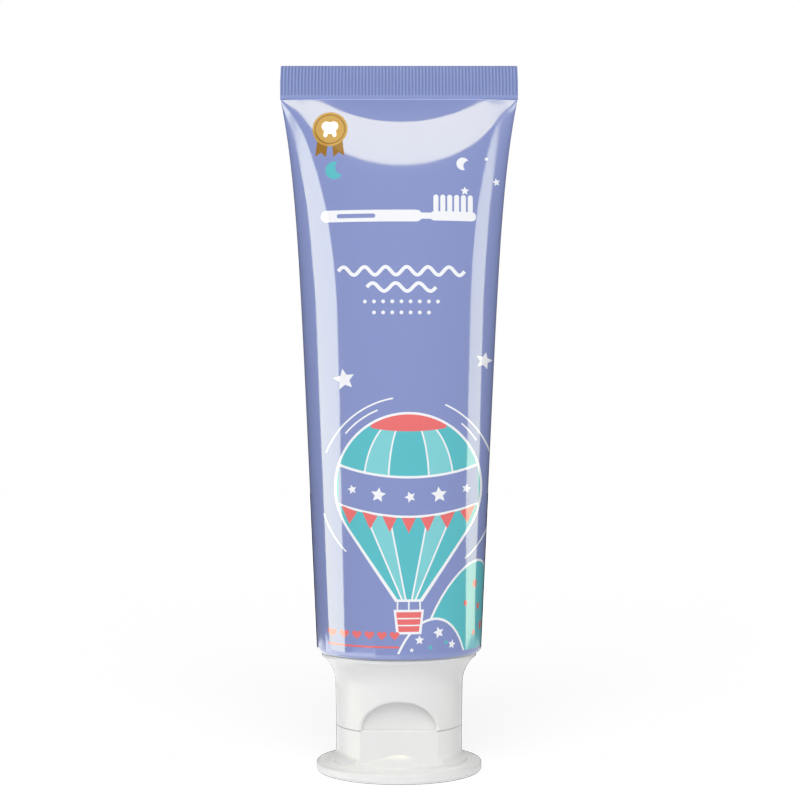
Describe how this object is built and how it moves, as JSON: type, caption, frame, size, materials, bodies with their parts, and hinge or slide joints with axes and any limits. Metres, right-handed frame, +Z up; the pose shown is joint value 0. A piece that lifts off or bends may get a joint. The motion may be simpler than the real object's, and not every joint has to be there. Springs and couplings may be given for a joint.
{
  "type": "toothpaste tube",
  "caption": "Full squeeze tube of toothpaste with a flat ribbed crimp, standing on the wide round foot of a hinged flip-top closure.",
  "frame": {"origin": "centre of the foot of the lid, on the surface that the tube stands on", "axes": "+Z up along the tube to the crimp; -Y is the front with the thumb scoop; +Y is the rear with the lid's hinge; the crimp lies along X"},
  "size_m": [0.0508, 0.035, 0.15],
  "materials": {
    "laminate": "gloss",
    "closure_white": "satin",
    "head_white": "matte",
    "paste": "satin"
  },
  "bodies": {
    "tube": {"tube_sleeve": "laminate", "tube_head": "head_white", "toothpaste": "paste", "cap_body": "closure_white"},
    "lid": {"cap_lid": "closure_white", "living_hinge": "closure_white"}
  },
  "joints": [
    {"name": "lid_hinge", "type": "hinge", "parent": "tube", "child": "lid", "pos_m": [0, 0.0136, 0.01], "axis": [1, 0, 0], "range_deg": [0, 140], "deforming": ["living_hinge"]}
  ]
}
